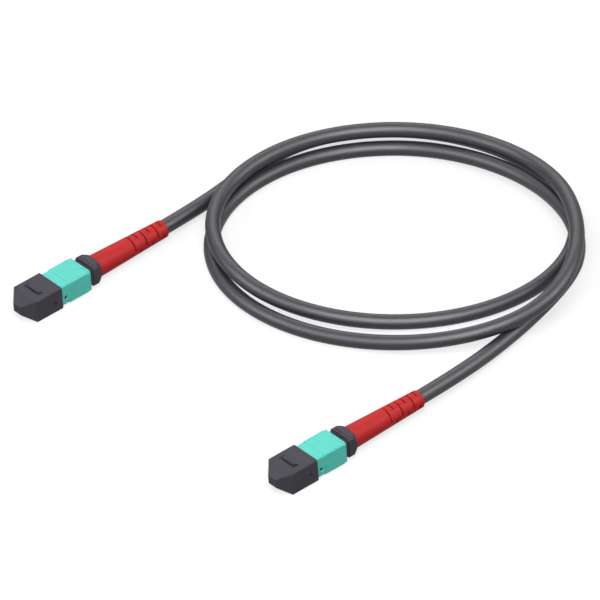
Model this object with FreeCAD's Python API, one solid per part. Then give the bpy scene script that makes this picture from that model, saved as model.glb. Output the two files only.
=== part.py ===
"""A fibre patch cable: one coiled round cable with the same push-pull multi-fibre plug on both ends.

Millimetres. +Z is up and the two plugs lie side by side on z = 0. They point towards -X and the cable
leaves them towards +X. The origin is below the middle of the pair.

A plug is modelled about its own axis, with x = 0 at the front of its coupling sleeve and +x towards
the cable.
"""

import FreeCAD, Part

import math
import os

V = FreeCAD.Vector
X_AXIS = V(1, 0, 0)

# The pair and the cable
PLUG_SPACING = 142.0
CABLE_DIAMETER = 5.6
CABLE_SIDES = 10  # flats round the cable's outside
HOLE_SIDES = 12  # flats in a hole in a plug's side

# Clearances
SLIDE_GAP = 0.15  # each side of a piece that slides in another
CAP_GAP = 0.2  # each side of the plug's nose in its cap, and between cap and sleeve
SEAT_GAP = 0.05  # at a shoulder or stop
SPRING_GAP = 0.12  # round a coupling spring
CRIMP_GAP = 0.03  # between the layers of the crimp
CABLE_GAP = 0.1  # round the cable in the boot

# Ferrule
FERRULE_WIDTH = 6.4
FERRULE_HEIGHT = 2.5
FERRULE_LENGTH = 8.0
FERRULE_STAND_OUT = 1.2  # ahead of the inner housing
FERRULE_TRAVEL = 0.8
FLANGE_RIM = 0.4
FLANGE_LENGTH = 1.5
GUIDE_HOLE_DIAMETER = 0.7
GUIDE_HOLE_SPACING = 4.6
WINDOW_LENGTH = 1.6
WINDOW_WIDTH = 3.0
WINDOW_DEPTH = 0.8

# Ribbon and what guides it behind the ferrule
RIBBON_WIDTH = 3.1
RIBBON_THICKNESS = 0.35
FERRULE_BOOT_WALL = 0.6
PIN_CLAMP_LENGTH = 2.2

# Inner housing
HOUSING_SIDE_WALL = 1.05
HOUSING_TOP_WALL = 1.0
HOUSING_CHAMFER = 0.3
NOSE_LENGTH = 6.4  # ahead of the sleeve
NOSE_CHAMFER = 0.4
KEY_WIDTH = 3.0
KEY_HEIGHT = 0.5
KEY_SETBACK = 0.6  # the key ends this far ahead of the sleeve
NOTCH_START = 0.6  # latch notches in the sides, under the sleeve's front
NOTCH_LENGTH = 2.0
NOTCH_HEIGHT = 4.0
NOTCH_DEPTH = 0.6
HOUSING_SETBACK = 1.7  # its rear end lies this far inside the sleeve

# Coupling sleeve
SLEEVE_LENGTH = 13.6
SLEEVE_SIDE_WALL = 0.95
SLEEVE_TOP_WALL = 1.05
SLEEVE_CHAMFER = 0.5
SLEEVE_TRAVEL = 1.6
BAND_LENGTH = 3.6  # the narrower front band
BAND_STEP = 0.2
LIP_LENGTH = 1.1  # the lip at the rear edge, behind a groove
LIP_CHAMFER = 0.8
LIP_GROOVE_WIDTH = 0.3
LIP_GROOVE_DEPTH = 0.2
PEEP_HOLE_DIAMETER = 1.6
PEEP_HOLE_X = 2.0
PEEP_HOLE_Z = -1.26

# Stops between sleeve and inner housing
STOP_START = 8.0
STOP_LENGTH = 0.9
STOP_WIDTH = 3.0
STOP_HEIGHT = 0.45
STOP_ROOM = 0.1

# Springs
COUPLING_SPRING_START = 4.6
COUPLING_SPRING_LENGTH = 5.2
COUPLING_SPRING_DIAMETER = 1.3
COUPLING_SPRING_WIRE = 0.22
COUPLING_SPRING_TURNS = 5
COUPLING_SPRING_CORNERS = 4  # straight stretches in a turn
FERRULE_SPRING_WIRE = 0.4
FERRULE_SPRING_TURNS = 5
FERRULE_SPRING_CORNERS = 6
POCKET_DEPTH = 0.75  # in the side of the inner housing, for a coupling spring

# Rear housing
INSERT_LENGTH = 1.5
BARB_LENGTH = 0.6
BARB_WIDTH = 2.4
BARB_REACH = 0.7
NECK_GAP = 2.0  # free neck between sleeve and collar
COLLAR_LENGTH = 4.1
COLLAR_WIDTH = 10.2
COLLAR_HEIGHT = 8.4
COLLAR_CHAMFER = 0.8
COLLAR_CONE_LENGTH = 2.6
COLLAR_RIM = 0.3  # the collar's rear face stands this far outside the boot
GROOVE_SETBACK = 0.8
GROOVE_WIDTH = 0.35
GROOVE_DEPTH = 0.25
PASSAGE_WIDTH = 3.4  # way through for the ribbon
PASSAGE_HEIGHT = 1.6
POST_LENGTH = 5.4
POST_RADIUS = 2.2

# Crimp
YARN_THICKNESS = 0.42
CRIMP_WALL = 0.3
CRIMP_LENGTH = 5.0
CRIMP_SETBACK = 0.4
CRIMP_SIDES = 6
YARN_STRANDS = 12

# Strain relief boot
BOOT_LENGTH = 32.5
BOOT_FRONT_DIAMETER = 8.8
BOOT_REAR_DIAMETER = 6.8
BOOT_SIDES = 18  # flats round the boot
BOOT_RIM = 0.35
CHAMBER_LENGTH = 6.4
SLOT_ROWS = 6
SLOT_FIRST = 16.4  # from the boot's front to its first row of slots
SLOT_PITCH = 2.75
SLOT_WIDTH = 0.5
SLOT_HALF_ANGLE = 60.0
SLOT_ANGLE = 52.0  # middle of the first row's slot, turned up from the plug's right side
SLOT_ROW_TURN = 70.0
CABLE_SETBACK = 13.4  # from the boot's front to the end of the cable's jacket

# Dust cap
CAP_SIDE_WALL = 1.5
CAP_TOP_WALL = 1.2
CAP_CHAMFER = 0.4
CAP_LENGTH = 15.8
CAP_TAPER_LENGTH = 4.2
CAP_NOSE_WIDTH = 4.2
CAP_NOSE_HEIGHT = 3.4
CAP_END_ROOM = 1.6  # ahead of the ferrule
RIB_SETBACK = 6.3  # grip rib, a wedge that rises towards the nose, from the cap's rear edge
RIB_LENGTH = 2.1
RIB_WIDTH = 8.2
RIB_HEIGHT = 0.7
RIB_GROOVE_WIDTH = 0.4  # finger groove ahead of the rib
RIB_GROOVE_DEPTH = 0.5
RIB_NOTCH_LENGTH = 1.7  # the groove turns back into both ends of the rib
RIB_NOTCH_WIDTH = 0.9
DIMPLE_DIAMETER = 1.4
DIMPLE_DEPTH = 0.3
DIMPLE_SETBACK = 3.2
DIMPLE_Z = -0.6

# The coil: half-axes in plan, and knots of (angle, level in cable diameters, track from front 0 to back 1)
COIL_CENTRE = V(88.25, 6.1, 0)
COIL_ACROSS = V(46.4, -46.3, 0)
COIL_DEEP = V(36.9, 43.75, 0)
COIL_BACK = V(0.614, 0.789, 0)
COIL_STEP = 20
COIL_FIRST = 120
COIL_LAST = -740
COIL_TRACK = 11.47  # the back track lies this far behind the front one
COIL_LEAN = 7.43  # a strand leans this far forward for each level it climbs
COIL_KNOTS = (
    (120, 0.0, 1.0),
    (-95, 0.0, 1.0),
    (-135, 0.85, 1.0),
    (-155, 1.12, 1.0),
    (-300, 1.1, 1.0),
    (-320, 1.4, 1.0),
    (-340, 2.15, 1.0),
    (-372, 2.2, 0.35),
    (-400, 1.4, 0.0),
    (-420, 1.0, 0.0),
    (-460, 0.0, 0.0),
    (-640, 0.0, 0.0),
    (-680, 0.6, 0.0),
    (-698, 1.1, 0.0),
    (-726, 1.1, 0.0),
    (-740, 0.7, 0.0),
)
# Where the cable comes down to the floor behind each plug
TAIL_STRAIGHT_END = 47.4
TAIL_A_LANDING = (80.85, 77.8)
TAIL_B_LANDING = (83.75, -64.7)
ARC_SHARE = 0.45  # of the shorter run, on each side of a route point

# Worked out from the above
FLANGE_WIDTH = FERRULE_WIDTH + 2 * FLANGE_RIM
FLANGE_HEIGHT = FERRULE_HEIGHT + 2 * FLANGE_RIM
FERRULE_SPRING_FLATS = RIBBON_WIDTH + 2 * FERRULE_SPRING_WIRE
FERRULE_SPRING_DIAMETER = FERRULE_SPRING_FLATS / math.cos(math.pi / FERRULE_SPRING_CORNERS)
CAVITY_WIDTH = FLANGE_WIDTH + 2 * SLIDE_GAP
CAVITY_HEIGHT = FERRULE_SPRING_DIAMETER + 2 * SEAT_GAP
HOUSING_WIDTH = CAVITY_WIDTH + 2 * HOUSING_SIDE_WALL
HOUSING_HEIGHT = CAVITY_HEIGHT + 2 * HOUSING_TOP_WALL
SLEEVE_BORE_WIDTH = HOUSING_WIDTH + 2 * SLIDE_GAP
SLEEVE_BORE_HEIGHT = HOUSING_HEIGHT + 2 * SLIDE_GAP
SLEEVE_WIDTH = SLEEVE_BORE_WIDTH + 2 * SLEEVE_SIDE_WALL
SLEEVE_HEIGHT = SLEEVE_BORE_HEIGHT + 2 * SLEEVE_TOP_WALL
CAP_BORE_WIDTH = HOUSING_WIDTH + 2 * CAP_GAP
CAP_BORE_HEIGHT = HOUSING_HEIGHT + 2 * CAP_GAP
CAP_WIDTH = CAP_BORE_WIDTH + 2 * CAP_SIDE_WALL
CAP_HEIGHT = CAP_BORE_HEIGHT + 2 * CAP_TOP_WALL
CAP_REAR = -CAP_GAP
CAP_FRONT = CAP_REAR - CAP_LENGTH
FERRULE_FRONT = -NOSE_LENGTH - FERRULE_STAND_OUT
FERRULE_REAR = FERRULE_FRONT + FERRULE_LENGTH
SHOULDER = FERRULE_REAR - FLANGE_LENGTH - SEAT_GAP
PIN_CLAMP_REAR = FERRULE_REAR + PIN_CLAMP_LENGTH
HOUSING_REAR = SLEEVE_LENGTH - HOUSING_SETBACK
INSERT_FRONT = HOUSING_REAR - INSERT_LENGTH
COLLAR_FRONT = SLEEVE_LENGTH + NECK_GAP
COLLAR_REAR = COLLAR_FRONT + COLLAR_LENGTH
POST_REAR = COLLAR_REAR + POST_LENGTH
YARN_INNER = POST_RADIUS + CRIMP_GAP
YARN_OUTER = YARN_INNER + YARN_THICKNESS
CRIMP_INNER = YARN_OUTER + CRIMP_GAP
CRIMP_OUTER = CRIMP_INNER / math.cos(math.pi / YARN_STRANDS) + CRIMP_WALL
CHAMBER_RADIUS = CRIMP_OUTER / math.cos(math.pi / CRIMP_SIDES) + SLIDE_GAP
BOOT_FRONT = COLLAR_REAR
BOOT_REAR = BOOT_FRONT + BOOT_LENGTH
BOOT_BORE_RADIUS = CABLE_DIAMETER / 2 + CABLE_GAP
JACKET_END = BOOT_FRONT + CABLE_SETBACK
PLUG_LENGTH = BOOT_REAR - CAP_FRONT
PLUG_X = PLUG_LENGTH / 2 - BOOT_REAR
AXIS_HEIGHT = CAP_HEIGHT / 2
FLOOR_HEIGHT = CABLE_DIAMETER / 2


# Building blocks
def bar(start, end, width, height, chamfer):
    """Bar along the plug's axis with chamfered edges."""
    y, z = width / 2, height / 2
    corners = []
    for across, up in ((1, 1), (-1, 1), (-1, -1), (1, -1)):
        pair = [V(start, across * y, up * (z - chamfer)), V(start, across * (y - chamfer), up * z)]
        corners += pair if across * up > 0 else pair[::-1]
    return flat_face(corners).extrude(V(end - start, 0, 0))


def block(start, end, left, right, low, high):
    """Square-edged block between two planes on each axis."""
    return Part.makeBox(end - start, right - left, high - low, V(start, left, low))


def slab(start, end, width, height):
    """Square-edged block centred on the plug's axis."""
    return block(start, end, -width / 2, width / 2, -height / 2, height / 2)


def tapered_bar(front, shoulder, rear, width, height, nose_width, nose_height, chamfer):
    """Bar with chamfered edges whose front tapers on four flat slopes."""

    def outline(across, size, nose):
        half, tip = across * (size / 2), across * (nose / 2)
        return [
            X_AXIS * front + tip,
            X_AXIS * shoulder + half,
            X_AXIS * rear + half,
            X_AXIS * rear - half,
            X_AXIS * shoulder - half,
            X_AXIS * front - tip,
        ]

    def prism(points, along):
        return flat_face(points).translated(along * -0.5).extrude(along)

    plan = prism(outline(V(0, 1, 0), width, nose_width), V(0, 0, height))
    side = prism(outline(V(0, 0, 1), height, nose_height), V(0, width, 0))
    return bar(front, rear, width, height, chamfer).common(plan).common(side)


def polygon(x, radius, sides):
    """Corners of a regular outline across the plug's axis at x, with its flats at the given radius."""
    reach = radius / math.cos(math.pi / sides)
    turns = [2 * math.pi * (k + 0.5) / sides for k in range(sides)]
    return [V(x, reach * math.cos(turn), reach * math.sin(turn)) for turn in turns]


def flat_face(corners):
    """Flat face with the given corners."""
    return Part.Face(Part.makePolygon([*corners, corners[0]]))


def many_sided(sides, *stations):
    """Solid with flat sides through regular outlines at (x, radius) stations along the plug's axis."""
    rings = [polygon(x, radius, sides) for x, radius in stations]
    faces = [flat_face(rings[0]), flat_face(rings[-1])]
    for near, far in zip(rings, rings[1:]):
        for k in range(sides):
            faces.append(flat_face([near[k - 1], near[k], far[k], far[k - 1]]))
    solid = Part.makeSolid(Part.makeShell(faces))
    if solid.Volume < 0:
        solid.reverse()
    return solid


def round_bar(start, end, diameter):
    """Round bar along the plug's axis."""
    return Part.makeCylinder(diameter / 2, end - start, V(start, 0, 0), X_AXIS)


def side_hole(x, z, diameter, inner, outer):
    """Many-sided hole across the plug, between two distances from its middle plane."""
    corners = [V(x + spot.y, inner, z + spot.z) for spot in polygon(0, diameter / 2, HOLE_SIDES)]
    return flat_face(corners).extrude(V(0, outer - inner, 0))


def both_sides(shape):
    """The shape and its mirror image across the plug's middle plane."""
    return shape, shape.mirror(V(0, 0, 0), V(0, 1, 0))


def top_and_bottom(shape):
    """The shape and its mirror image below the plug's axis."""
    return shape, shape.mirror(V(0, 0, 0), V(0, 0, 1))


def spring(start, end, diameter, wire, turns, stretches):
    """Compression spring along the plug's axis, of square wire bent in straight stretches."""
    radius = diameter / 2 - wire / 2 / math.cos(math.pi / stretches)
    first, last = start + wire, end - wire
    count = turns * stretches
    points = []
    for k in range(count + 1):
        angle = 2 * math.pi * k / stretches
        x = first + (last - first) * k / count
        points.append(V(x, radius * math.cos(angle), radius * math.sin(angle)))
    path = Part.makePolygon(points)
    along = points[1] - points[0]
    along.normalize()
    out = V(0, 1, 0)
    up = along.cross(out)
    up.normalize()
    out = up.cross(along)
    half = wire / 2
    quarters = ((1, 1), (-1, 1), (-1, -1), (1, -1))
    corners = [points[0] + out * (half * across) + up * (half * rise) for across, rise in quarters]
    section = Part.makePolygon(corners + corners[:1])
    return path.makePipeShell([section], True, True, 1)


# Pieces of a plug
def ferrule():
    body = slab(FERRULE_FRONT, FERRULE_REAR, FERRULE_WIDTH, FERRULE_HEIGHT)
    flange = slab(FERRULE_REAR - FLANGE_LENGTH, FERRULE_REAR, FLANGE_WIDTH, FLANGE_HEIGHT)
    middle = (FERRULE_FRONT + FERRULE_REAR - FLANGE_LENGTH) / 2
    high = FERRULE_HEIGHT / 2
    window = block(
        middle - WINDOW_LENGTH / 2,
        middle + WINDOW_LENGTH / 2,
        -WINDOW_WIDTH / 2,
        WINDOW_WIDTH / 2,
        high - WINDOW_DEPTH,
        high,
    )
    hole = round_bar(FERRULE_FRONT, FERRULE_REAR, GUIDE_HOLE_DIAMETER)
    hole.translate(V(0, GUIDE_HOLE_SPACING / 2, 0))
    return body.fuse(flange).cut([window, *both_sides(hole)]).removeSplitter()


def ribbon_slot(start, end):
    return slab(start, end, RIBBON_WIDTH + 2 * SEAT_GAP, RIBBON_THICKNESS + 2 * SEAT_GAP)


def ferrule_boot_section(grow):
    """Width and height of the ferrule boot, grown on each side."""
    wall = 2 * (FERRULE_BOOT_WALL + grow)
    return RIBBON_WIDTH + wall, RIBBON_THICKNESS + wall


def ferrule_boot():
    body = slab(FERRULE_REAR, PIN_CLAMP_REAR, *ferrule_boot_section(0))
    return body.cut(ribbon_slot(FERRULE_REAR, PIN_CLAMP_REAR))


def pin_clamp():
    body = slab(FERRULE_REAR, PIN_CLAMP_REAR, FLANGE_WIDTH, FLANGE_HEIGHT)
    return body.cut(slab(FERRULE_REAR, PIN_CLAMP_REAR, *ferrule_boot_section(SEAT_GAP)))


def ferrule_spring():
    return spring(
        PIN_CLAMP_REAR + SEAT_GAP,
        INSERT_FRONT - SEAT_GAP,
        FERRULE_SPRING_DIAMETER,
        FERRULE_SPRING_WIRE,
        FERRULE_SPRING_TURNS,
        FERRULE_SPRING_CORNERS,
    )


def coupling_spring_end():
    return COUPLING_SPRING_START + COUPLING_SPRING_LENGTH


def coupling_spring_offset():
    """Distance of a coupling spring's axis from the plug's middle plane."""
    return HOUSING_WIDTH / 2 - POCKET_DEPTH + SPRING_GAP + COUPLING_SPRING_DIAMETER / 2


def coupling_spring(side):
    shape = spring(
        COUPLING_SPRING_START,
        coupling_spring_end(),
        COUPLING_SPRING_DIAMETER,
        COUPLING_SPRING_WIRE,
        COUPLING_SPRING_TURNS,
        COUPLING_SPRING_CORNERS,
    )
    shape.translate(V(0, side * coupling_spring_offset(), 0))
    return shape


def spring_channel(start, end, inner, outer):
    """Room for a coupling spring at one side of the plug."""
    half = COUPLING_SPRING_DIAMETER / 2 + SPRING_GAP
    return block(start, end, inner, outer, -half, half)


def stop(grow, ahead, behind):
    """Stop on top of the inner housing, or the room for it, grown on each side and lengthened."""
    low = HOUSING_HEIGHT / 2 - HOUSING_CHAMFER
    half = STOP_WIDTH / 2 + grow
    high = HOUSING_HEIGHT / 2 + STOP_HEIGHT + grow
    return block(STOP_START - ahead, STOP_START + STOP_LENGTH + behind, -half, half, low, high)


def barb(grow):
    """Barb at one side of the rear housing's insert, or the window for it."""
    inner = CAVITY_WIDTH / 2 - SLIDE_GAP - BARB_REACH
    outer = CAVITY_WIDTH / 2 - SLIDE_GAP + BARB_REACH
    start = INSERT_FRONT + (INSERT_LENGTH - BARB_LENGTH) / 2
    half = BARB_WIDTH / 2 + grow
    return block(start - grow, start + BARB_LENGTH + grow, inner, outer + grow, -half, half)


def key(grow, start, end):
    """Key on top of the nose, or its keyway in the cap."""
    half = KEY_WIDTH / 2 + grow
    return block(start, end, -half, half, 0, HOUSING_HEIGHT / 2 + KEY_HEIGHT + grow)


def inner_housing():
    body = tapered_bar(
        -NOSE_LENGTH,
        -NOSE_LENGTH + NOSE_CHAMFER,
        HOUSING_REAR,
        HOUSING_WIDTH,
        HOUSING_HEIGHT,
        HOUSING_WIDTH - NOSE_CHAMFER,
        HOUSING_HEIGHT - NOSE_CHAMFER,
        HOUSING_CHAMFER,
    )
    side = HOUSING_WIDTH / 2
    notch = block(
        NOTCH_START,
        NOTCH_START + NOTCH_LENGTH,
        side - NOTCH_DEPTH,
        side,
        -NOTCH_HEIGHT / 2,
        NOTCH_HEIGHT / 2,
    )
    pocket = spring_channel(
        COUPLING_SPRING_START - SEAT_GAP, coupling_spring_end() + SEAT_GAP, side - POCKET_DEPTH, side
    )
    added = [key(0, -NOSE_LENGTH + NOSE_CHAMFER, -KEY_SETBACK), *top_and_bottom(stop(0, 0, 0))]
    removed = [
        slab(-NOSE_LENGTH, SHOULDER, FERRULE_WIDTH + 2 * SLIDE_GAP, FERRULE_HEIGHT + 2 * SLIDE_GAP),
        slab(SHOULDER, HOUSING_REAR, CAVITY_WIDTH, CAVITY_HEIGHT),
        *both_sides(notch),
        *both_sides(pocket),
        *both_sides(barb(SEAT_GAP)),
    ]
    return body.fuse(added).cut(removed).removeSplitter()


def sleeve_band(start, end, step, chamfer):
    """One stretch of the coupling sleeve's outside, stepped in on each side."""
    return bar(start, end, SLEEVE_WIDTH - 2 * step, SLEEVE_HEIGHT - 2 * step, chamfer)


def coupling_sleeve():
    lip_start = SLEEVE_LENGTH - LIP_LENGTH
    grip = sleeve_band(BAND_LENGTH, lip_start, 0, SLEEVE_CHAMFER)
    band = sleeve_band(0, BAND_LENGTH, BAND_STEP, SLEEVE_CHAMFER)
    lip = sleeve_band(lip_start, SLEEVE_LENGTH, 0, LIP_CHAMFER)
    lip_groove = block(
        lip_start - LIP_GROOVE_WIDTH,
        lip_start,
        -SLEEVE_WIDTH / 2,
        SLEEVE_WIDTH / 2,
        SLEEVE_HEIGHT / 2 - LIP_GROOVE_DEPTH,
        SLEEVE_HEIGHT / 2,
    )
    bore = slab(0, SLEEVE_LENGTH, SLEEVE_BORE_WIDTH, SLEEVE_BORE_HEIGHT)
    inner = SLEEVE_BORE_WIDTH / 2 - HOUSING_CHAMFER
    outer = coupling_spring_offset() + COUPLING_SPRING_DIAMETER / 2 + SPRING_GAP
    channel = spring_channel(COUPLING_SPRING_START - SEAT_GAP, SLEEVE_LENGTH, inner, outer)
    side = SLEEVE_WIDTH / 2
    peep_hole = side_hole(PEEP_HOLE_X, PEEP_HOLE_Z, PEEP_HOLE_DIAMETER, -side, side)
    stop_room = stop(STOP_ROOM, SLEEVE_TRAVEL + SEAT_GAP, SEAT_GAP)
    removed = [bore, peep_hole, *both_sides(channel), *top_and_bottom(stop_room), *top_and_bottom(lip_groove)]
    return grip.fuse([band, lip]).cut(removed).removeSplitter()


def rear_housing():
    gap = 2 * SLIDE_GAP
    insert = slab(INSERT_FRONT, HOUSING_REAR, CAVITY_WIDTH - gap, CAVITY_HEIGHT - gap)
    neck = slab(HOUSING_REAR, COLLAR_FRONT, HOUSING_WIDTH - gap, HOUSING_HEIGHT - gap)
    collar = bar(COLLAR_FRONT, COLLAR_REAR, COLLAR_WIDTH, COLLAR_HEIGHT, COLLAR_CHAMFER)
    widest = math.hypot(COLLAR_WIDTH, COLLAR_HEIGHT) / 2
    envelope = many_sided(
        BOOT_SIDES,
        (COLLAR_FRONT, widest),
        (COLLAR_REAR - COLLAR_CONE_LENGTH, widest),
        (COLLAR_REAR, BOOT_FRONT_DIAMETER / 2 + COLLAR_RIM),
    )
    groove = block(
        COLLAR_FRONT + GROOVE_SETBACK,
        COLLAR_FRONT + GROOVE_SETBACK + GROOVE_WIDTH,
        -COLLAR_WIDTH / 2,
        COLLAR_WIDTH / 2,
        COLLAR_HEIGHT / 2 - GROOVE_DEPTH,
        COLLAR_HEIGHT / 2,
    )
    post = many_sided(YARN_STRANDS, (COLLAR_REAR, POST_RADIUS), (POST_REAR, POST_RADIUS))
    passage = slab(INSERT_FRONT, POST_REAR, PASSAGE_WIDTH, PASSAGE_HEIGHT)
    solid = neck.fuse([insert, collar.common(envelope), post, *both_sides(barb(0))])
    return solid.cut([passage, *top_and_bottom(groove)]).removeSplitter()


def crimp_ring():
    start = COLLAR_REAR + CRIMP_SETBACK
    end = start + CRIMP_LENGTH
    ring = many_sided(CRIMP_SIDES, (start, CRIMP_OUTER), (end, CRIMP_OUTER))
    return ring.cut(many_sided(YARN_STRANDS, (start, CRIMP_INNER), (end, CRIMP_INNER)))


def strength_yarn():
    start = COLLAR_REAR + CRIMP_SETBACK
    post_end = POST_REAR + SEAT_GAP
    strands = many_sided(YARN_STRANDS, (start, YARN_OUTER), (JACKET_END, YARN_OUTER))
    over_post = many_sided(YARN_STRANDS, (start, YARN_INNER), (post_end, YARN_INNER))
    return strands.cut([over_post, slab(post_end, JACKET_END, PASSAGE_WIDTH, PASSAGE_HEIGHT)])


def fibre_ribbon():
    start = PIN_CLAMP_REAR + FERRULE_TRAVEL + SEAT_GAP
    return slab(start, JACKET_END, RIBBON_WIDTH, RIBBON_THICKNESS)


def strain_relief_boot():
    rear = BOOT_REAR_DIAMETER / 2
    body = many_sided(
        BOOT_SIDES,
        (BOOT_FRONT, BOOT_FRONT_DIAMETER / 2),
        (BOOT_REAR - BOOT_RIM, rear),
        (BOOT_REAR, rear - BOOT_RIM),
    )
    chamber_end = BOOT_FRONT + CHAMBER_LENGTH
    bore = many_sided(
        BOOT_SIDES,
        (BOOT_FRONT, CHAMBER_RADIUS),
        (chamber_end, CHAMBER_RADIUS),
        (chamber_end + CHAMBER_RADIUS - BOOT_BORE_RADIUS, BOOT_BORE_RADIUS),
        (BOOT_REAR, BOOT_BORE_RADIUS),
    )
    return body.cut([bore, *(slot for row in range(SLOT_ROWS) for slot in boot_slots(row))])


def boot_slots(row):
    """Two slots through the boot's wall on opposite sides, each row turned from the one before it."""
    start = BOOT_FRONT + SLOT_FIRST + row * SLOT_PITCH
    middle = SLOT_ANGLE + SLOT_ROW_TURN * (row % 2)
    reach = BOOT_FRONT_DIAMETER
    slots = []
    for opposite in (0, 180):
        corners = [V(start, 0, 0)]
        for turn in (-SLOT_HALF_ANGLE, 0, SLOT_HALF_ANGLE):
            angle = math.radians(middle + opposite + turn)
            corners.append(V(start, -reach * math.cos(angle), reach * math.sin(angle)))
        slots.append(flat_face(corners).extrude(V(SLOT_WIDTH, 0, 0)))
    return slots


def dust_cap():
    body = tapered_bar(
        CAP_FRONT,
        CAP_FRONT + CAP_TAPER_LENGTH,
        CAP_REAR,
        CAP_WIDTH,
        CAP_HEIGHT,
        CAP_NOSE_WIDTH,
        CAP_NOSE_HEIGHT,
        CAP_CHAMFER,
    )
    top = CAP_HEIGHT / 2
    root = top - CAP_TOP_WALL / 2
    rib_end = CAP_REAR - RIB_SETBACK
    rib_front = rib_end - RIB_LENGTH
    rib_corners = ((rib_front, root), (rib_front, top + RIB_HEIGHT), (rib_end, top), (rib_end, root))
    rib = flat_face([V(x, -RIB_WIDTH / 2, z) for x, z in rib_corners]).extrude(V(0, RIB_WIDTH, 0))
    half = RIB_WIDTH / 2
    groove_floor = top - RIB_GROOVE_DEPTH
    groove = block(rib_front - RIB_GROOVE_WIDTH, rib_front, -half, half, groove_floor, top)
    notch = block(
        rib_front,
        rib_front + RIB_NOTCH_LENGTH,
        half - RIB_NOTCH_WIDTH,
        half,
        groove_floor,
        top + RIB_HEIGHT,
    )
    cavity_end = FERRULE_FRONT - CAP_END_ROOM
    cavity = slab(cavity_end, CAP_REAR, CAP_BORE_WIDTH, CAP_BORE_HEIGHT)
    keyway = key(CAP_GAP, -NOSE_LENGTH - CAP_GAP, CAP_REAR)
    side = CAP_WIDTH / 2
    dimple = side_hole(CAP_REAR - DIMPLE_SETBACK, DIMPLE_Z, DIMPLE_DIAMETER, side - DIMPLE_DEPTH, side)
    removed = [cavity, keyway, groove, *both_sides(notch), *both_sides(dimple)]
    return body.fuse(rib).cut(removed).removeSplitter()


PIECES = {
    "dust_cap": dust_cap,
    "coupling_sleeve": coupling_sleeve,
    "inner_housing": inner_housing,
    "ferrule": ferrule,
    "ferrule_boot": ferrule_boot,
    "pin_clamp": pin_clamp,
    "ferrule_spring": ferrule_spring,
    "coupling_spring_left": lambda: coupling_spring(1),
    "coupling_spring_right": lambda: coupling_spring(-1),
    "rear_housing": rear_housing,
    "crimp_ring": crimp_ring,
    "strength_yarn": strength_yarn,
    "fibre_ribbon": fibre_ribbon,
    "strain_relief_boot": strain_relief_boot,
}


# The cable
def coil_knot(angle):
    """Level and track of the coil at an angle, between the knots around it."""
    for (start, low, front), (end, high, back) in zip(COIL_KNOTS, COIL_KNOTS[1:]):
        if end <= angle <= start:
            share = (start - angle) / (start - end)
            return low + share * (high - low), front + share * (back - front)
    raise ValueError(f"no coil at {angle} degrees")


def coil_points():
    """Route points round the coil, each outside the strand by as much as the bends cut inside them."""
    outside = 1 / math.cos(math.radians(COIL_STEP / 2))
    points = []
    for angle in range(COIL_FIRST, COIL_LAST - 1, -COIL_STEP):
        level, track = coil_knot(angle)
        turn = math.radians(angle)
        out = (COIL_ACROSS * math.cos(turn) + COIL_DEEP * math.sin(turn)) * outside
        drift = COIL_BACK * (track * COIL_TRACK - level * COIL_LEAN)
        up = V(0, 0, FLOOR_HEIGHT + level * CABLE_DIAMETER)
        points.append(COIL_CENTRE + out + drift + up)
    return points


def cable_points():
    """The cable's route from the boot of plug A round the coil to the boot of plug B."""
    side = PLUG_SPACING / 2
    jacket_end = PLUG_X + JACKET_END
    tail_a = [
        V(jacket_end, side, AXIS_HEIGHT),
        V(TAIL_STRAIGHT_END, side, AXIS_HEIGHT),
        V(*TAIL_A_LANDING, FLOOR_HEIGHT),
    ]
    tail_b = [
        V(*TAIL_B_LANDING, FLOOR_HEIGHT),
        V(TAIL_STRAIGHT_END, -side, AXIS_HEIGHT),
        V(jacket_end, -side, AXIS_HEIGHT),
    ]
    return tail_a + coil_points() + tail_b


def cable():
    """Many-sided tube along straight runs joined by tangent arcs as large as the runs allow."""
    points = cable_points()
    edges = []
    radii = []
    reached = points[0]
    for before, corner, after in zip(points, points[1:], points[2:]):
        arriving = corner - before
        leaving = after - corner
        cut = ARC_SHARE * min(arriving.Length, leaving.Length)
        half_turn = arriving.getAngle(leaving) / 2
        arriving.normalize()
        leaving.normalize()
        start = corner - arriving * cut
        end = corner + leaving * cut
        radius = cut / math.tan(half_turn)
        inward = leaving - arriving
        inward.normalize()
        middle = corner + inward * (radius / math.cos(half_turn) - radius)
        edges.append(Part.LineSegment(reached, start).toShape())
        edges.append(Part.Arc(start, middle, end).toShape())
        radii.append(radius)
        reached = end
    edges.append(Part.LineSegment(reached, points[-1]).toShape())
    path = Part.Wire(edges)
    section = flat_face(polygon(0, CABLE_DIAMETER / 2 * math.cos(math.pi / CABLE_SIDES), CABLE_SIDES))
    solid = path.makePipeShell([section.OuterWire.translated(points[0])], True, True)
    expected = section.Area * path.Length
    print("cable radii:", " ".join(f"{radius:.0f}" for radius in radii))
    print(f"cable length {path.Length:.1f}, volume {solid.Volume:.1f}, section times length {expected:.1f}")
    return solid


def save(name, shape):
    solids = shape.Solids
    if not shape.isValid() or len(solids) != 1:
        raise ValueError(f"{name}: {len(solids)} solids, valid {shape.isValid()}")
    solids[0].exportStep(f"parts/{name}.step")


def main():
    os.makedirs("parts", exist_ok=True)
    for end, side in (("a", 1), ("b", -1)):
        place = V(PLUG_X, side * PLUG_SPACING / 2, AXIS_HEIGHT)
        for name, make in PIECES.items():
            save(f"{name}_{end}", make().translated(place))
    save("cable", cable())


main()
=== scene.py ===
"""The look of the fibre patch cable: its round coiled cable, slotted boots and moulded plugs, their
finishes, the studio and the camera. Metres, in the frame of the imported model."""

import math

import bmesh
import bpy
from mathutils import Matrix, Vector


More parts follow.
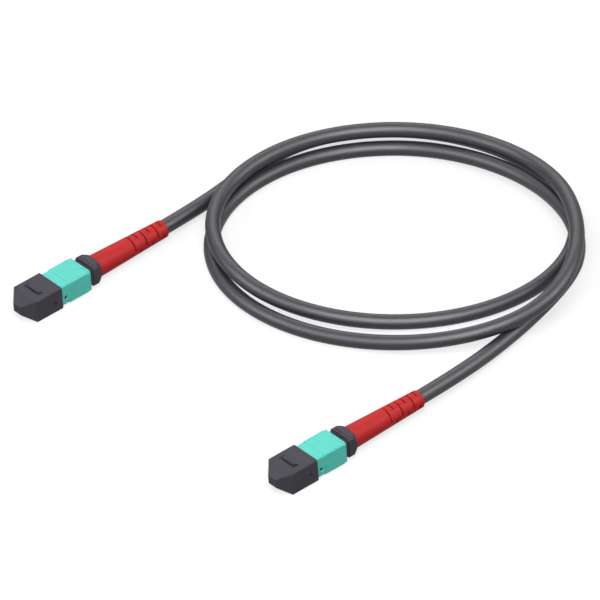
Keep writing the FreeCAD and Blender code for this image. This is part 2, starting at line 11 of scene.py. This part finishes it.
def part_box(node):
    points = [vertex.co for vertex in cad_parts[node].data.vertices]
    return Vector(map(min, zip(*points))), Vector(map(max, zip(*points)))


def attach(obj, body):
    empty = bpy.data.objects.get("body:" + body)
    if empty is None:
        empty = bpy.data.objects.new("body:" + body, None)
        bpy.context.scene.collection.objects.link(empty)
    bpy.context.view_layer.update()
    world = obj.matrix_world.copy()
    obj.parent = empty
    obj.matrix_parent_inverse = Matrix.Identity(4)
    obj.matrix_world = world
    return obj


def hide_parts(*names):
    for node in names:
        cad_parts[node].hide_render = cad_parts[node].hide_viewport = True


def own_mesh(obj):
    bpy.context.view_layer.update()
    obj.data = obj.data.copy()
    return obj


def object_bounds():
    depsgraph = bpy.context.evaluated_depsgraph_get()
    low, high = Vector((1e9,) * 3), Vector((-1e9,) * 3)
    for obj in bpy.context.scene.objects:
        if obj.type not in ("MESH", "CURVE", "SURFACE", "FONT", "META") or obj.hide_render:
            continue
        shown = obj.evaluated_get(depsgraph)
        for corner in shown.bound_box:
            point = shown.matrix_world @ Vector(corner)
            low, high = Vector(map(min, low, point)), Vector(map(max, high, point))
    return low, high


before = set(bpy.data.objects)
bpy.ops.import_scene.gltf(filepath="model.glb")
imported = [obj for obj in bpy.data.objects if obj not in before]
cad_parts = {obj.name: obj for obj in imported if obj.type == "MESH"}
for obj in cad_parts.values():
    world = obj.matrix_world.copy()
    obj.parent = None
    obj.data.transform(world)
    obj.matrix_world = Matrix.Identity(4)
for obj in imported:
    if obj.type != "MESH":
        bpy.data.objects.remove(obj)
cad_low, cad_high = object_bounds()

MM = 0.001
ENDS = ("a", "b")
UP = Vector((0, 0, 1))

# Camera, set by where the photograph shows the frame's origin
PHOTO_SIZE = 600
ORIGIN_PIXEL = (217.9, 364.25)
PIXELS_PER_METRE = 2803.0
VIEW_TURN = math.radians(37.5)
VIEW_ELEVATION = math.radians(37.0)
VIEW_ROLL = math.radians(4.5)
LENS_MM = 1000.0
SENSOR_MM = 36.0
CLIP_DISTANCES = 3

# Cable
CABLE_RADIUS = 2.8 * MM
CABLE_CURVE_ORDER = 3
CABLE_STEPS_ALONG = 16
CABLE_STEPS_ROUND = 10
COIL_CENTRE = Vector((88.32, 5.88, 0)) * MM
COIL_ACROSS = Vector((46.7, -46.6, 0)) * MM
COIL_DEEP = Vector((36.9, 43.75, 0)) * MM
COIL_BACK = Vector((0.614, 0.789, 0))
COIL_STEP = 20
COIL_FIRST = 120
COIL_LAST = -740
COIL_TRACK = 11.47 * MM
COIL_LEAN = 7.43 * MM
# Knots of the coil: angle, level in cable diameters, track from front 0 to back 1, share of its reach
COIL_KNOTS = (
    (120, 0.16, 1.1, 1.0),
    (75, 0.16, 1.1, 1.0),
    (40, 0.04, 0.97, 1.0),
    (0, 0.0, 1.0, 1.0),
    (-60, 0.0, 1.03, 1.0),
    (-95, 0.0, 1.03, 1.0),
    (-135, 0.85, 1.03, 0.995),
    (-160, 1.12, 1.05, 0.989),
    (-200, 1.1, 1.08, 0.989),
    (-240, 1.1, 1.1, 0.998),
    (-300, 1.1, 1.13, 1.0),
    (-320, 1.4, 1.15, 1.0),
    (-340, 2.15, 1.14, 1.0),
    (-372, 2.19, 0.38, 1.0),
    (-400, 1.4, -0.03, 1.0),
    (-420, 1.0, -0.04, 1.0),
    (-460, 0.0, -0.04, 1.0),
    (-520, 0.0, -0.06, 1.006),
    (-555, 0.0, -0.02, 1.006),
    (-600, 0.0, 0.13, 1.0),
    (-640, 0.0, 0.14, 1.0),
    (-680, 0.6, 0.04, 1.0),
    (-698, 1.1, 0.0, 1.0),
    (-726, 1.1, 0.0, 1.0),
    (-740, 0.7, 0.0, 1.0),
)
TAIL_STRAIGHT_END = 47.4 * MM
TAIL_A_LANDING = Vector((80.85 * MM, 77.7 * MM, CABLE_RADIUS))
TAIL_B_LANDING = Vector((83.75 * MM, -64.7 * MM, CABLE_RADIUS))

# Pieces that take the CAD's own form: name, node, moving body or None, slot, width of the rounded edges
MOULDINGS = (
    ("cap_moulding", "dust_cap", "cap", "cap_black", 0.12 * MM),
    ("sleeve_moulding", "coupling_sleeve", "sleeve", "sleeve_aqua", 0.1 * MM),
    ("housing_moulding", "inner_housing", None, "housing_black", 0.06 * MM),
    ("collar_moulding", "rear_housing", None, "collar_black", 0.1 * MM),
    ("ferrule_moulding", "ferrule", "ferrule", "ferrule_dark", 0.03 * MM),
)
SHARP_ANGLE = math.radians(32.0)
FLAT_ANGLE = math.radians(1.0)
WELD_DISTANCE = 0.001 * MM
EDGE_STEPS = 3
ROUND_PROFILE = 0.5
LARGE_FACE_WEIGHT = 100

# Dimples in the cap's sides
DIMPLE_SIDES = 12
DIMPLE_DIAMETER = 1.4 * MM
DIMPLE_DEEPER = 0.6 * MM

# Strain relief boot
BOOT_FRONT_RADIUS = 4.4 * MM
BOOT_REAR_RADIUS = 3.4 * MM
BOOT_RIM = 0.35 * MM
BOOT_RIM_STEPS = 4
BOOT_SEGMENTS = 72
BOOT_FIRST_SEGMENT = math.radians(2.0)
CHAMBER_RADIUS = 3.7 * MM
CHAMBER_LENGTH = 6.4 * MM
BORE_RADIUS = 2.9 * MM
SLOT_ROWS = 6
SLOT_FIRST = 16.4 * MM
SLOT_PITCH = 2.75 * MM
SLOT_WIDTH = 0.5 * MM
SLOT_HALF_ANGLE = 60.0
SLOT_ANGLE = 52.0
SLOT_ROW_TURN = 70.0
SLOT_EDGE = 0.06 * MM
SLOT_EDGE_STEPS = 2

# Springs: node, body and joint that shorten it and how far, outer diameter, wire
SPRINGS = (
    ("ferrule_spring", "ferrule", "float", 0.8 * MM, 4.5 * MM, 0.4 * MM),
    ("coupling_spring_left", "sleeve", "release", 1.6 * MM, 1.3 * MM, 0.22 * MM),
    ("coupling_spring_right", "sleeve", "release", 1.6 * MM, 1.3 * MM, 0.22 * MM),
)
SPRING_OPEN_TURNS = 5
SPRING_CLOSED_TURNS = 1
SPRING_CLOSED_PITCH = 1.05
SPRING_STEPS = 24
SPRING_SIDES = 8

# Fibres in the ferrule
FIBRE_COUNT = 12
FIBRE_PITCH = 0.25 * MM
FIBRE_RADIUS = 0.0625 * MM
FIBRE_PROUD = 0.01 * MM
FIBRE_SEGMENTS = 16

# Finishes
SCREEN_OFFSET = 0.055
SCREEN_GAMMA = 2.4
NOISE_LOW = 0.3
NOISE_HIGH = 0.7
CLOUD_SIZE = 4 * MM
CLOUD_DETAIL = 4.0
SHINE_SIZE = 0.8 * MM
SHINE_SPREAD = 0.05
MARK_SIZE = 0.08 * MM
MARK_STRETCH = (12, 1, 1)
MARK_DARKNESS = 0.85
MARK_SPREAD = 0.08
MARK_DEPTH = 0.004 * MM
STRAND_DETAIL = 1.0
STRAND_ROUGHNESS = (0.45, 0.7)
STRAND_DEPTH = 0.05 * MM

# Studio
FLOOR_RADIUS = 4.0
FLOOR_SEGMENTS = 64
FLOOR_DROP = 0.05 * MM
FLOOR_COLOUR = 0.95
FLOOR_BOUNCE = 0.15
FLOOR_SHADOW_SHARE = 0.3
BACKGROUND = (1.0, 1.0, 1.0, 1.0)
WORLD_STRENGTH = 0.06
# Softboxes: name, turn from the camera's side and elevation in degrees, distance, side, watts, gloss only
SOFTBOXES = (
    ("key_softbox", 0, 58, 2.0, 1.3, 39.0, False),
    ("left_softbox", 55, 30, 1.3, 0.7, 5.5, False),
    ("right_softbox", -60, 22, 1.3, 0.7, 3.2, False),
    ("back_left_softbox", 145, 38, 1.3, 0.9, 4.2, False),
    ("back_right_softbox", -145, 38, 1.3, 0.9, 4.2, False),
    ("front_reflector", 0, 46, 2.0, 1.6, 115.0, True),
    ("back_reflector", 180, 36, 1.3, 0.8, 9.0, True),
    ("left_reflector", 85, 34, 1.3, 0.8, 24.0, True),
    ("right_reflector", -85, 34, 1.3, 0.8, 24.0, True),
)


# Camera
def make_camera():
    right = Vector((math.cos(VIEW_TURN), -math.sin(VIEW_TURN), 0))
    away = Vector((math.sin(VIEW_TURN), math.cos(VIEW_TURN), 0))
    forward = away * math.cos(VIEW_ELEVATION) - UP * math.sin(VIEW_ELEVATION)
    up = away * math.sin(VIEW_ELEVATION) + UP * math.cos(VIEW_ELEVATION)
    image_right = right * math.cos(VIEW_ROLL) - up * math.sin(VIEW_ROLL)
    image_up = right * math.sin(VIEW_ROLL) + up * math.cos(VIEW_ROLL)
    to_right = (PHOTO_SIZE / 2 - ORIGIN_PIXEL[0]) / PIXELS_PER_METRE
    to_top = (ORIGIN_PIXEL[1] - PHOTO_SIZE / 2) / PIXELS_PER_METRE
    distance = LENS_MM / SENSOR_MM * PHOTO_SIZE / PIXELS_PER_METRE
    data = bpy.data.cameras.new("camera")
    data.lens = LENS_MM
    data.sensor_width = SENSOR_MM
    data.clip_end = CLIP_DISTANCES * distance
    camera = bpy.data.objects.new("camera", data)
    place = Matrix((image_right, image_up, -forward)).transposed().to_4x4()
    place.translation = image_right * to_right + image_up * to_top - forward * distance
    camera.matrix_world = place
    bpy.context.scene.collection.objects.link(camera)
    bpy.context.scene.camera = camera


# Finishes
def seen_colour(red, green, blue):
    """Linear colour of one written on the screen's 0 to 255 scale."""
    shares = (part / 255 for part in (red, green, blue))
    return tuple(((s + SCREEN_OFFSET) / (1 + SCREEN_OFFSET)) ** SCREEN_GAMMA for s in shares) + (1.0,)


def shaded(colour, share):
    """The colour made darker or lighter."""
    return tuple(min(1.0, c * share) for c in colour[:3]) + (1.0,)


def new_finish(name, **settings):
    """New material; the settings are sockets of its shader that are the same all over."""
    material = bpy.data.materials.new(name)
    material.use_nodes = True
    tree = material.node_tree
    shader = tree.nodes["Principled BSDF"]
    for socket, value in settings.items():
        shader.inputs[socket.replace("_", " ")].default_value = value
    return material, tree, shader


def grain(tree, size, detail=2.0, stretch=(1, 1, 1)):
    """Noise with grains of a size, stretched along the frame's axes."""
    place = tree.nodes.new("ShaderNodeTexCoord")
    scale = tree.nodes.new("ShaderNodeMapping")
    scale.inputs["Scale"].default_value = [1 / (size * s) for s in stretch]
    noise = tree.nodes.new("ShaderNodeTexNoise")
    noise.inputs["Scale"].default_value = 1.0
    noise.inputs["Detail"].default_value = detail
    tree.links.new(place.outputs["Object"], scale.inputs["Vector"])
    tree.links.new(scale.outputs["Vector"], noise.inputs["Vector"])
    return noise.outputs["Fac"]


def vary_colour(tree, shader, pattern, dark, light):
    ramp = tree.nodes.new("ShaderNodeValToRGB")
    first, second = ramp.color_ramp.elements
    first.position, first.color = NOISE_LOW, dark
    second.position, second.color = NOISE_HIGH, light
    tree.links.new(pattern, ramp.inputs["Fac"])
    tree.links.new(ramp.outputs["Color"], shader.inputs["Base Color"])


def vary_roughness(tree, shader, pattern, low, high):
    spread = tree.nodes.new("ShaderNodeMapRange")
    spread.inputs["From Min"].default_value = NOISE_LOW
    spread.inputs["From Max"].default_value = NOISE_HIGH
    spread.inputs["To Min"].default_value = low
    spread.inputs["To Max"].default_value = high
    tree.links.new(pattern, spread.inputs["Value"])
    tree.links.new(spread.outputs["Result"], shader.inputs["Roughness"])


def add_relief(tree, shader, pattern, depth):
    bump = tree.nodes.new("ShaderNodeBump")
    bump.inputs["Distance"].default_value = depth
    tree.links.new(pattern, bump.inputs["Height"])
    tree.links.new(bump.outputs["Normal"], shader.inputs["Normal"])


def moulded(
    name, colour, roughness, grain_size=0.22 * MM, relief=0.012 * MM, variation=0.06, specular=0.5
):
    """Moulded plastic with an eroded tool's fine grain and faint clouding."""
    material, tree, shader = new_finish(name, Specular_IOR_Level=specular)
    clouds = grain(tree, CLOUD_SIZE, detail=CLOUD_DETAIL)
    vary_colour(tree, shader, clouds, shaded(colour, 1 - variation), shaded(colour, 1 + variation))
    shine = grain(tree, SHINE_SIZE)
    vary_roughness(tree, shader, shine, roughness - SHINE_SPREAD, roughness + SHINE_SPREAD)
    add_relief(tree, shader, grain(tree, grain_size), relief)
    return material


def metal(name, colour, roughness):
    """Drawn metal with fine marks along the plug."""
    material, tree, shader = new_finish(name, Metallic=1.0)
    marks = grain(tree, MARK_SIZE, stretch=MARK_STRETCH)
    vary_colour(tree, shader, marks, shaded(colour, MARK_DARKNESS), colour)
    vary_roughness(tree, shader, marks, roughness - MARK_SPREAD, roughness + MARK_SPREAD)
    add_relief(tree, shader, marks, MARK_DEPTH)
    return material


def strands(name, dark, light, pitch, stretch):
    """Fine strands that run along the plug."""
    material, tree, shader = new_finish(name)
    lines = grain(tree, pitch, detail=STRAND_DETAIL, stretch=(stretch, 1, 1))
    vary_colour(tree, shader, lines, dark, light)
    vary_roughness(tree, shader, lines, *STRAND_ROUGHNESS)
    add_relief(tree, shader, lines, STRAND_DEPTH)
    return material


def slot_of(material):
    """Name of the record's slot, without the number that sets materials of the same name apart."""
    return material.name.split(".")[0]


def make_finishes():
    """Materials by the name of the record's slot."""
    materials = (
        moulded("cap_black", seen_colour(66, 64, 70), 0.55, specular=0.05),
        moulded("sleeve_aqua", seen_colour(90, 197, 184), 0.5, variation=0.04, specular=0.06),
        moulded("housing_black", seen_colour(46, 44, 48), 0.45),
        moulded("ferrule_dark", seen_colour(58, 56, 54), 0.35, grain_size=0.08 * MM),
        moulded("soft_white", seen_colour(226, 224, 216), 0.6),
        metal("clamp_steel", seen_colour(196, 196, 198), 0.35),
        metal("spring_steel", seen_colour(176, 178, 182), 0.28),
        moulded("collar_black", seen_colour(67, 65, 71), 0.55, specular=0.05),
        metal("crimp_metal", seen_colour(205, 198, 184), 0.32),
        strands("yarn_yellow", seen_colour(176, 138, 40), seen_colour(232, 198, 92), 0.1 * MM, 60),
        strands("ribbon_aqua", seen_colour(60, 150, 146), seen_colour(120, 214, 204), 0.25 * MM, 80),
        moulded(
            "boot_red",
            seen_colour(176, 33, 34),
            0.55,
            grain_size=0.3 * MM,
            variation=0.05,
            specular=0.08,
        ),
        moulded(
            "cable_black",
            seen_colour(38, 35, 42),
            0.48,
            grain_size=0.5 * MM,
            relief=0.008 * MM,
            specular=0.36,
        ),
    )
    return {slot_of(material): material for material in materials}


# Pieces
def add_piece(name, data, body, slot, *nodes):
    """Shows a new mesh or curve, in place of the CAD nodes given."""
    piece = bpy.data.objects.new(name, data)
    bpy.context.scene.collection.objects.link(piece)
    data.materials.append(finishes[slot])
    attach(piece, body)
    if nodes:
        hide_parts(*nodes)
    return piece


def mesh_of(name, shape):
    """The shape as a new mesh; the shape itself is freed."""
    data = bpy.data.meshes.new(name)
    shape.to_mesh(data)
    shape.free()
    return data


def smooth_faces(piece):
    """Smooth shading that keeps large faces flat."""
    for face in piece.data.polygons:
        face.use_smooth = True
    normals = piece.modifiers.new("normals", "WEIGHTED_NORMAL")
    normals.weight = LARGE_FACE_WEIGHT
    normals.keep_sharp = True


def round_edges(shape, width, steps):
    """Rounds every edge of a shape that isn't nearly flat."""
    sharp = [edge for edge in shape.edges if edge.is_manifold and edge.calc_face_angle() > SHARP_ANGLE]
    bmesh.ops.bevel(
        shape,
        geom=sharp,
        offset=width,
        offset_type="OFFSET",
        segments=steps,
        profile=ROUND_PROFILE,
        affect="EDGES",
        clamp_overlap=True,
    )
    bmesh.ops.dissolve_degenerate(shape, dist=WELD_DISTANCE, edges=shape.edges)


def deepen_dimples(shape):
    """Sinks the floors of the dimples, the only small faces with so many corners in the cap's sides."""
    floors = [
        face
        for face in shape.faces
        if len(face.verts) == DIMPLE_SIDES and face.calc_area() < DIMPLE_DIAMETER**2
    ]
    for floor in floors:
        bmesh.ops.translate(shape, verts=floor.verts, vec=-floor.normal * DIMPLE_DEEPER)


def add_moulding(name, node, end, body, slot, width):
    """The CAD node's own form with its edges rounded; both plugs take it from plug A."""
    pattern, target = f"{node}_{ENDS[0]}", f"{node}_{end}"
    shape = bmesh.new()
    shape.from_mesh(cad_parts[pattern].data)
    bmesh.ops.remove_doubles(shape, verts=shape.verts, dist=WELD_DISTANCE)
    bmesh.ops.dissolve_limit(shape, angle_limit=FLAT_ANGLE, verts=shape.verts, edges=shape.edges)
    if node == "dust_cap":
        deepen_dimples(shape)
    round_edges(shape, width, EDGE_STEPS)
    bmesh.ops.translate(shape, verts=shape.verts, vec=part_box(target)[0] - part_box(pattern)[0])
    name = f"{name}_{end}"
    smooth_faces(add_piece(name, mesh_of(name, shape), body, slot, target))


# Cable
def coil_knot(angle):
    """Level, track and reach of the coil at an angle, between the knots around it."""
    for (start, *here), (end, *there) in zip(COIL_KNOTS, COIL_KNOTS[1:]):
        if end <= angle <= start:
            share = (start - angle) / (start - end)
            return [a + share * (b - a) for a, b in zip(here, there)]
    raise ValueError(f"no coil at {angle} degrees")


def coil_points():
    """The coil's corners, set out so far that the smooth curve between them has the coil's reach."""
    outside = 1 / math.cos(math.radians(COIL_STEP / 2))
    points = []
    for angle in range(COIL_FIRST, COIL_LAST - 1, -COIL_STEP):
        level, track, reach = coil_knot(angle)
        turn = math.radians(angle)
        out = (COIL_ACROSS * math.cos(turn) + COIL_DEEP * math.sin(turn)) * outside * reach
        drift = COIL_BACK * (track * COIL_TRACK - level * COIL_LEAN)
        points.append(COIL_CENTRE + out + drift + UP * CABLE_RADIUS * (1 + 2 * level))
    return points


def axis_ends(node):
    """Middle of the front and of the rear face of a CAD node that lies along a plug."""
    low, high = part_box(node)
    middle = (low + high) / 2
    return Vector((low.x, middle.y, middle.z)), Vector((high.x, middle.y, middle.z))


def cable_points():
    """The route from inside the boot of plug A round the coil to inside the boot of plug B."""
    start_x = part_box("cable")[0].x
    tails = []
    for end, landing in zip(ENDS, (TAIL_A_LANDING, TAIL_B_LANDING)):
        axis = axis_ends(f"strain_relief_boot_{end}")[0]
        tails.append([Vector((x, axis.y, axis.z)) for x in (start_x, TAIL_STRAIGHT_END)] + [landing])
    return tails[0] + coil_points() + tails[1][::-1]


def add_cable():
    points = cable_points()
    data = bpy.data.curves.new("cable_jacket", "CURVE")
    data.dimensions = "3D"
    data.bevel_depth = CABLE_RADIUS
    data.bevel_resolution = CABLE_STEPS_ROUND
    data.use_fill_caps = True
    spline = data.splines.new("NURBS")
    spline.points.add(len(points) - 1)
    for spot, point in zip(spline.points, points):
        spot.co = (*point, 1.0)
    spline.order_u = CABLE_CURVE_ORDER
    spline.use_endpoint_u = True
    spline.resolution_u = CABLE_STEPS_ALONG
    spline.use_smooth = True
    jacket = add_piece("cable_jacket", data, "cord", "cable_black", "cable")


# Strain relief boot
def boot_stations(length):
    """Places along the boot: distance from its front, outer radius, bore, row of slots that starts there."""
    taper_end = length - BOOT_RIM

    def outer(x):
        return BOOT_FRONT_RADIUS + (BOOT_REAR_RADIUS - BOOT_FRONT_RADIUS) * x / taper_end

    bore_start = CHAMBER_LENGTH + CHAMBER_RADIUS - BORE_RADIUS
    stations = [
        (0.0, outer(0.0), CHAMBER_RADIUS, None),
        (CHAMBER_LENGTH, outer(CHAMBER_LENGTH), CHAMBER_RADIUS, None),
        (bore_start, outer(bore_start), BORE_RADIUS, None),
    ]
    for row in range(SLOT_ROWS):
        start = SLOT_FIRST + row * SLOT_PITCH
        stations.append((start, outer(start), BORE_RADIUS, row))
        stations.append((start + SLOT_WIDTH, outer(start + SLOT_WIDTH), BORE_RADIUS, None))
    for step in range(BOOT_RIM_STEPS + 1):
        turn = math.pi / 2 * step / BOOT_RIM_STEPS
        rim_x = taper_end + BOOT_RIM * math.sin(turn)
        stations.append((rim_x, BOOT_REAR_RADIUS - BOOT_RIM * (1 - math.cos(turn)), BORE_RADIUS, None))
    return stations


def in_slot(row, segment):
    """Whether a segment of the boot's wall is cut away in a row, which has two slots opposite each other."""
    if row is None:
        return False
    angle = math.degrees(BOOT_FIRST_SEGMENT + 2 * math.pi * (segment + 0.5) / BOOT_SEGMENTS)
    middle = SLOT_ANGLE + SLOT_ROW_TURN * (row % 2)
    off = (angle - middle + 90) % 180 - 90
    return abs(off) < SLOT_HALF_ANGLE


def boot_shape(front, length):
    """Closed wall of the boot, with faces only between what is solid and what is open."""
    stations = boot_stations(length)
    rows = [row for x, radius, bore, row in stations]
    shape = bmesh.new()

    def ring(x, radius):
        corners = []
        for segment in range(BOOT_SEGMENTS):
            turn = BOOT_FIRST_SEGMENT + 2 * math.pi * segment / BOOT_SEGMENTS
            offset = Vector((x, -radius * math.cos(turn), radius * math.sin(turn)))
            corners.append(shape.verts.new(front + offset))
        return corners

    outer = [ring(x, radius) for x, radius, bore, row in stations]
    inner = [ring(x, bore) for x, radius, bore, row in stations]
    last = len(stations) - 1
    for segment in range(BOOT_SEGMENTS):
        after = (segment + 1) % BOOT_SEGMENTS
        for place in range(last + 1):
            skin, bore = outer[place], inner[place]
            solid = place < last and not in_slot(rows[place], segment)
            solid_before = place > 0 and not in_slot(rows[place - 1], segment)
            if solid != solid_before:
                shape.faces.new((skin[segment], skin[after], bore[after], bore[segment]))
            if place == last:
                continue
            next_skin, next_bore = outer[place + 1], inner[place + 1]
            if solid:
                shape.faces.new((skin[segment], next_skin[segment], next_skin[after], skin[after]))
                shape.faces.new((bore[segment], next_bore[segment], next_bore[after], bore[after]))
            if solid == in_slot(rows[place], after):
                shape.faces.new((skin[after], next_skin[after], next_bore[after], bore[after]))
    loose = [vert for vert in shape.verts if not vert.link_faces]
    bmesh.ops.delete(shape, geom=loose, context="VERTS")
    bmesh.ops.recalc_face_normals(shape, faces=shape.faces)
    return shape


def add_boot(end):
    node, name = f"strain_relief_boot_{end}", f"boot_moulding_{end}"
    front, rear = axis_ends(node)
    shape = boot_shape(front, rear.x - front.x)
    round_edges(shape, SLOT_EDGE, SLOT_EDGE_STEPS)
    smooth_faces(add_piece(name, mesh_of(name, shape), "cord", "boot_red", node))


# Springs
def spring_rise(turns, length, wire):
    """Distance along a spring of its wire's middle after some turns; the turns at both ends are closed."""
    closed = SPRING_CLOSED_PITCH * wire
    end_rise = SPRING_CLOSED_TURNS * closed
    pitch = (length - wire - 2 * end_rise) / SPRING_OPEN_TURNS
    middle = min(max(turns - SPRING_CLOSED_TURNS, 0), SPRING_OPEN_TURNS)
    return wire / 2 + (turns - middle) * closed + middle * pitch


def spring_shape(start, length, diameter, wire):
    shape = bmesh.new()
    radius = (diameter - wire) / 2
    rings = []
    for step in range((SPRING_OPEN_TURNS + 2 * SPRING_CLOSED_TURNS) * SPRING_STEPS + 1):
        turn = 2 * math.pi * step / SPRING_STEPS
        out = Vector((0, math.cos(turn), math.sin(turn)))
        rise = Vector((spring_rise(step / SPRING_STEPS, length, wire), 0, 0))
        middle = start + rise + out * radius
        ring = []
        for side in range(SPRING_SIDES):
            round_wire = 2 * math.pi * side / SPRING_SIDES
            offset = out * math.cos(round_wire) + Vector((math.sin(round_wire), 0, 0))
            ring.append(shape.verts.new(middle + offset * (wire / 2)))
        rings.append(ring)
    for ring, following in zip(rings, rings[1:]):
        for side in range(SPRING_SIDES):
            after = (side + 1) % SPRING_SIDES
            face = shape.faces.new((ring[side], ring[after], following[after], following[side]))
            face.smooth = True
    shape.faces.new(rings[0])
    shape.faces.new(rings[-1])
    bmesh.ops.recalc_face_normals(shape, faces=shape.faces)
    return shape


def add_springs(end):
    """Round-wire springs with closed end turns, each as long as the CAD node it replaces."""
    for spring, body, motion, travel, diameter, wire in SPRINGS:
        node, name = f"{spring}_{end}", f"{spring}_wire_{end}"
        front, rear = axis_ends(node)
        length = rear.x - front.x
        shape = spring_shape(front, length, diameter, wire)
        piece = add_piece(name, mesh_of(name, shape), "cord", "spring_steel", node)
        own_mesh(piece)


# Ferrule
def add_fibre_ends(end):
    """The fibres' polished ends, a row across the ferrule's front face."""
    front = axis_ends(f"ferrule_{end}")[0]
    facing = Matrix.Rotation(math.pi / 2, 4, "Y")
    shape = bmesh.new()
    for fibre in range(FIBRE_COUNT):
        across = Vector((0, (fibre - (FIBRE_COUNT - 1) / 2) * FIBRE_PITCH, 0))
        bmesh.ops.create_cone(
            shape,
            cap_ends=True,
            segments=FIBRE_SEGMENTS,
            radius1=FIBRE_RADIUS,
            radius2=FIBRE_RADIUS,
            depth=2 * FIBRE_PROUD,
            matrix=Matrix.Translation(front + across) @ facing,
        )
    name = f"fibre_ends_{end}"
    add_piece(name, mesh_of(name, shape), f"ferrule_{end}", "soft_white")


# Studio
def seen_ray(tree):
    """1 for rays from the camera, and for those reflected or passed through by the object."""
    rays = tree.nodes.new("ShaderNodeLightPath")
    seen = rays.outputs["Is Camera Ray"]
    for name in ("Is Glossy Ray", "Is Transmission Ray"):
        larger = tree.nodes.new("ShaderNodeMath")
        larger.operation = "MAXIMUM"
        tree.links.new(seen, larger.inputs[0])
        tree.links.new(rays.outputs[name], larger.inputs[1])
        seen = larger.outputs["Value"]
    return seen


def floor_finish():
    """White where it is seen, with part of the shadow that falls on it."""
    material = bpy.data.materials.new("floor")
    material.use_nodes = True
    tree = material.node_tree
    tree.nodes.clear()
    plain = tree.nodes.new("ShaderNodeBsdfDiffuse")
    tone = tree.nodes.new("ShaderNodeMapRange")
    tone.inputs["To Min"].default_value = FLOOR_BOUNCE
    tone.inputs["To Max"].default_value = FLOOR_COLOUR
    white = tree.nodes.new("ShaderNodeEmission")
    white.inputs["Color"].default_value = BACKGROUND
    share = tree.nodes.new("ShaderNodeMath")
    share.operation = "MULTIPLY"
    share.inputs[1].default_value = 1 - FLOOR_SHADOW_SHARE
    mix = tree.nodes.new("ShaderNodeMixShader")
    output = tree.nodes.new("ShaderNodeOutputMaterial")
    seen = seen_ray(tree)
    tree.links.new(seen, tone.inputs["Value"])
    tree.links.new(tone.outputs["Result"], plain.inputs["Color"])
    tree.links.new(seen, share.inputs[0])
    tree.links.new(share.outputs["Value"], mix.inputs["Fac"])
    tree.links.new(plain.outputs["BSDF"], mix.inputs[1])
    tree.links.new(white.outputs["Emission"], mix.inputs[2])
    tree.links.new(mix.outputs["Shader"], output.inputs["Surface"])
    return material


def add_floor():
    shape = bmesh.new()
    bmesh.ops.create_circle(shape, cap_ends=True, segments=FLOOR_SEGMENTS, radius=FLOOR_RADIUS)
    data = mesh_of("floor", shape)
    data.materials.append(floor_finish())
    floor = bpy.data.objects.new("floor", data)
    floor.location.z = -FLOOR_DROP
    bpy.context.scene.collection.objects.link(floor)


def add_world():
    world = bpy.data.worlds.new("studio")
    world.use_nodes = True
    background = world.node_tree.nodes["Background"]
    background.inputs["Color"].default_value = BACKGROUND
    background.inputs["Strength"].default_value = WORLD_STRENGTH
    bpy.context.scene.world = world


def add_softbox(name, turn, elevation, distance, size, power, gloss_only):
    """Square lamp aimed at the middle of the object, from a direction turned from the camera's side.
    One that is gloss only is seen in reflections and adds no other light."""
    middle = (cad_low + cad_high) / 2
    angle = VIEW_TURN + math.radians(turn)
    rise = math.radians(elevation)
    out = Vector((-math.sin(angle) * math.cos(rise), -math.cos(angle) * math.cos(rise), math.sin(rise)))
    data = bpy.data.lights.new(name, "AREA")
    data.size = size
    data.energy = power
    lamp = bpy.data.objects.new(name, data)
    lamp.location = middle + out * distance
    lamp.rotation_euler = (-out).to_track_quat("-Z", "Y").to_euler()
    lamp.visible_camera = False
    lamp.visible_diffuse = not gloss_only
    bpy.context.scene.collection.objects.link(lamp)


def add_studio():
    add_world()
    add_floor()
    for softbox in SOFTBOXES:
        add_softbox(*softbox)
    bpy.context.scene.view_settings.view_transform = "Standard"


# The object
def dress_plug(end):
    for name, node, body, slot, width in MOULDINGS:
        add_moulding(name, node, end, f"{body}_{end}" if body else "cord", slot, width)
    add_fibre_ends(end)
    add_springs(end)
    add_boot(end)


def finish_other_nodes():
    """The CAD nodes that keep their own shape get the finish of their slot."""
    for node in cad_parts.values():
        for place in node.material_slots:
            place.material = finishes[slot_of(place.material)]


finishes = make_finishes()
make_camera()
add_cable()
for end in ENDS:
    dress_plug(end)
finish_other_nodes()
add_studio()
